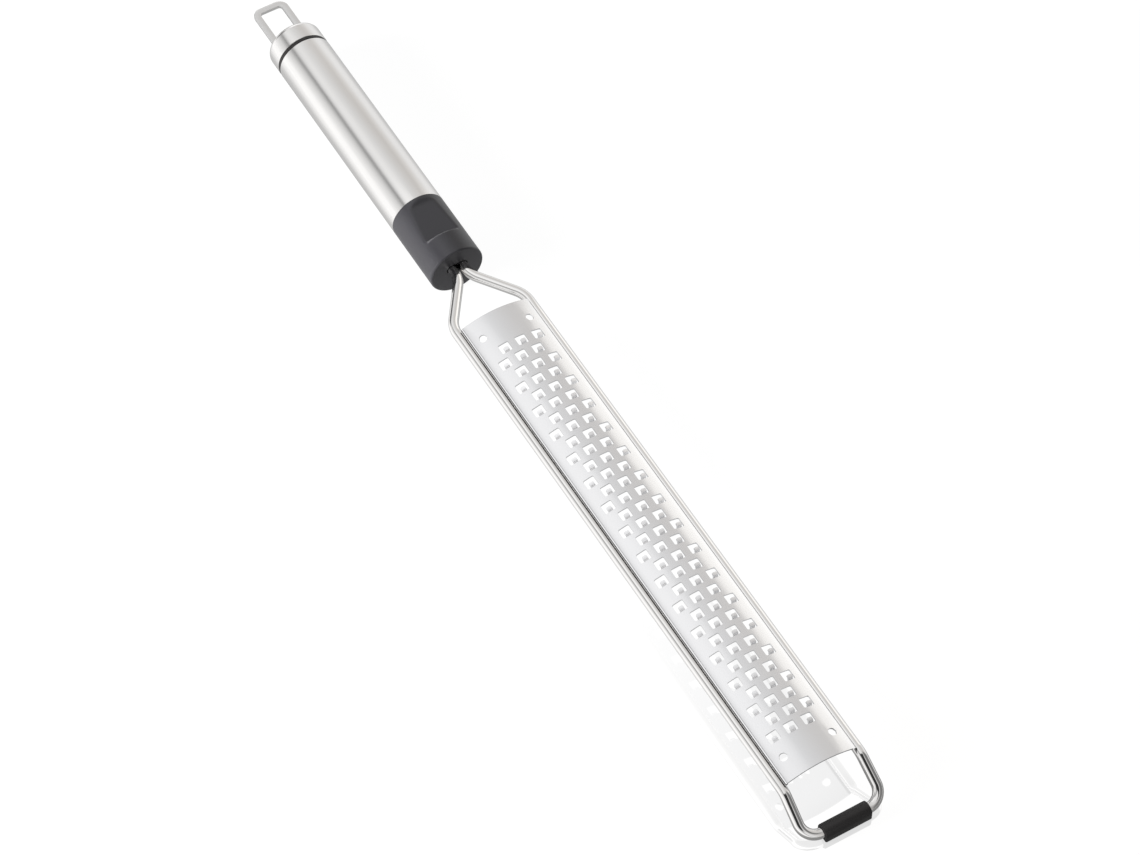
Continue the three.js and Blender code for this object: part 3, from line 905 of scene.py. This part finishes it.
along_leg = towards(LEG_RUN)
across_leg = fade(along_leg, -0.28, -0.15) * (1 - fade(along_leg, 0.3, 0.5))
far_end = fade(axis_x * -1, 0.74, 0.9)
patches = (
    (fade(towards(CAMERA_SIDE), 0.85, 0.915) * across_leg, 0.04),
    (fade(axis_x, 0.1, 0.3) * fade(axis_y, 0.2, 0.45), 0.22),
    (far_end * fade(axis_y, 0.05, 0.2), 1.3),
    (far_end * fade(axis_y * -1, 0.05, 0.18), 0.16),
)
mirrored = boxes
for mask, level in patches:
    mirrored = sky.mix_colour(mask, mirrored, grey(level))
print("patches:", len(patches))

# %% What each ray sees
EVEN_LIGHT = 0.24


def ray_kinds(finish):
    rays = finish.node("ShaderNodeLightPath").socket.node.outputs
    return [Value(finish, rays[name]) for name in ("Is Camera Ray", "Is Glossy Ray")]


is_camera, is_glossy = ray_kinds(sky)
seen = sky.mix_colour(is_glossy, grey(EVEN_LIGHT), mirrored)
seen = sky.mix_colour(is_camera, seen, grey(1))
sky.feed(sky.tree.nodes["Background"].inputs["Color"], seen)
print("world set, even light", EVEN_LIGHT)

# %% [markdown]
# ## Floor
# The grater lies on a glossy white sheet. The camera sees it white, with a soft shadow and a
# faint clear reflection that grows towards the foot. Metal mirrors the sheet as it is lit:
# dimmer close to the tool and beside the legs, bright further out.

# %% Sheet
FLOOR_HALF = 6
floor_bm = bmesh.new()
bmesh.ops.create_grid(floor_bm, x_segments=1, y_segments=1, size=FLOOR_HALF)
floor_mesh = bpy.data.meshes.new("floor")
floor_bm.to_mesh(floor_mesh)
floor_bm.free()
floor = bpy.data.objects.new("floor", floor_mesh)
bpy.context.scene.collection.objects.link(floor)
print("floor", 2 * FLOOR_HALF, "m wide")

# %% Sheet as metal mirrors it
sheet = new_finish("white_floor")
sheet.tree.nodes.remove(sheet.tree.nodes["Principled BSDF"])
spot_x, spot_y = coordinates(sheet)[:2]
SHEET_HALF, LEG_SHADE, LEG_SHADE_SHARE = 100, 0.14, 0.65


def sheet_stop(y_mm, level):
    return y_mm / (2 * SHEET_HALF) + 0.5, (level, level, level)


sheet_stops = [
    sheet_stop(-100, 1.25), sheet_stop(-60, 1.3), sheet_stop(-30, 1.05), sheet_stop(-16, 0.66),
    sheet_stop(0, 0.5), sheet_stop(18, 0.58), sheet_stop(56, 0.8), sheet_stop(100, 0.95),
]
sideways = spot_y / (2 * SHEET_HALF * MM) + 0.5
lit_sheet = sheet.node("ShaderNodeValToRGB", {"stops": sheet_stops}, {0: sideways})
by_legs = fade(spot_x, 0.165, 0.185) * fade(spot_y, -0.045, -0.025) * (1 - fade(spot_y, 0.06, 0.12))
lit_sheet = sheet.mix_colour(by_legs * LEG_SHADE_SHARE, lit_sheet, grey(LEG_SHADE))
as_lit = sheet.node("ShaderNodeEmission", {}, {"Color": lit_sheet, "Strength": 1.0})
print("mirrored sheet:", len(sheet_stops), "stops across")

# %% Sheet as the camera sees it
WHITE_SHARE, GLOSS_SHARE = 0.86, 0.36


def layer(factor, first, second):
    return sheet.node("ShaderNodeMixShader", {}, {0: factor, 1: first, 2: second})


near_foot = fade(spot_x, 0.04, 0.19)
plain = sheet.node("ShaderNodeBsdfDiffuse", {}, {"Color": grey(0.9)})
white_sheet = sheet.mix_colour(near_foot, grey(1.1), grey(1.25))
white = sheet.node("ShaderNodeEmission", {}, {"Color": white_sheet, "Strength": 1.0})
gloss = sheet.node("ShaderNodeBsdfAnisotropic", {}, {"Color": grey(1), "Roughness": 0.03})
for_camera = layer(near_foot * GLOSS_SHARE, layer(WHITE_SHARE, plain, white), gloss)
by_camera, by_metal = ray_kinds(sheet)
whole = layer(by_camera, layer(by_metal, plain, as_lit), for_camera)
sheet.feed(sheet.tree.nodes["Material Output"].inputs["Surface"], whole)
floor_mesh.materials.append(sheet.owner)
print("floor finish:", sheet.owner.name)

# %% [markdown]
# ## Lamps
# Two soft lamps light the black pieces and give the shadow on the sheet its direction. Metal
# doesn't mirror them. Two white cards do the opposite: they hang over the blade where only
# its flanks can mirror them, and light nothing else. The right one is slightly warm.

# %% Soft lamps
def soft_lamp(name, place, size, power):
    light = bpy.data.lights.new(name, "AREA")
    light.size, light.energy = size[0], power
    if len(size) == 2:
        light.shape, light.size_y = "RECTANGLE", size[1]
    else:
        light.shape = "DISK"
    lamp = bpy.data.objects.new(name, light)
    lamp.location = place
    bpy.context.scene.collection.objects.link(lamp)
    lamp.visible_camera = False
    return lamp


for name, place, diameter, power in (
    ("box_left", (-0.25, -0.95, 0.27), 0.6, 19), ("box_above", (0.1, 0.4, 1.3), 0.9, 2),
):
    lamp = soft_lamp(name, place, (diameter,), power)
    lamp.rotation_euler = (-lamp.location).to_track_quat("-Z", "Y").to_euler()
    lamp.visible_glossy = False
    print(name, "gives", power, "W")

# %% Cards
CARD_DISTANCE, CARD_LENGTH, BLADE_HEIGHT = 0.3, 0.28, 0.015


def card(name, degrees, spread, level, middle, colour):
    lift = Vector((0, math.cos(math.radians(degrees)), math.sin(math.radians(degrees))))
    width = 2 * CARD_DISTANCE * math.tan(math.radians(spread / 2))
    place = Vector((middle, 0, BLADE_HEIGHT)) + lift * CARD_DISTANCE
    lamp = soft_lamp(name, place, (CARD_LENGTH, width), level * math.pi * CARD_LENGTH * width)
    across = Vector((0, lift.z, -lift.y))
    lamp.rotation_euler = Matrix((Vector((1, 0, 0)), across, lift)).transposed().to_euler()
    lamp.data.color = colour
    lamp.visible_diffuse = False
    print(name, "is", round(width, 3), "m wide")


card("card_right", 26, 32, 0.42, middle=-0.07, colour=(1, 0.985, 0.93))
card("card_left", 106, 38, 0.13, middle=-0.085, colour=(1, 1, 1))

# %% [markdown]
# ## Camera
# A long lens from well above, turned about 60 degrees round the tool, as in the photograph.
# Two angles give the direction from the tool to the camera. A camera looks along its own
# minus z, so it is aimed at the tool once its z axis lies along that direction.

# %% Camera
AZIMUTH, ELEVATION = math.radians(59.55), math.radians(54.5)
CAMERA_PLACE, LENS, SENSOR = (0.6630, -0.3763, 1.0504), 117.6, 36
camera_data = bpy.data.cameras.new("camera")
camera_data.sensor_width, camera_data.lens = SENSOR, LENS
camera_data.clip_start, camera_data.clip_end = 0.05, 50
camera = bpy.data.objects.new("camera", camera_data)
camera.location = CAMERA_PLACE
level_reach = math.cos(ELEVATION)
back = Vector((math.sin(AZIMUTH) * level_reach, -math.cos(AZIMUTH) * level_reach, math.sin(ELEVATION)))
camera.rotation_euler = back.to_track_quat("Z", "Y").to_euler()
bpy.context.scene.collection.objects.link(camera)
bpy.context.scene.camera = camera
bpy.context.scene.view_settings.view_transform = "Standard"
print("camera at", tuple(round(value, 3) for value in camera.location))
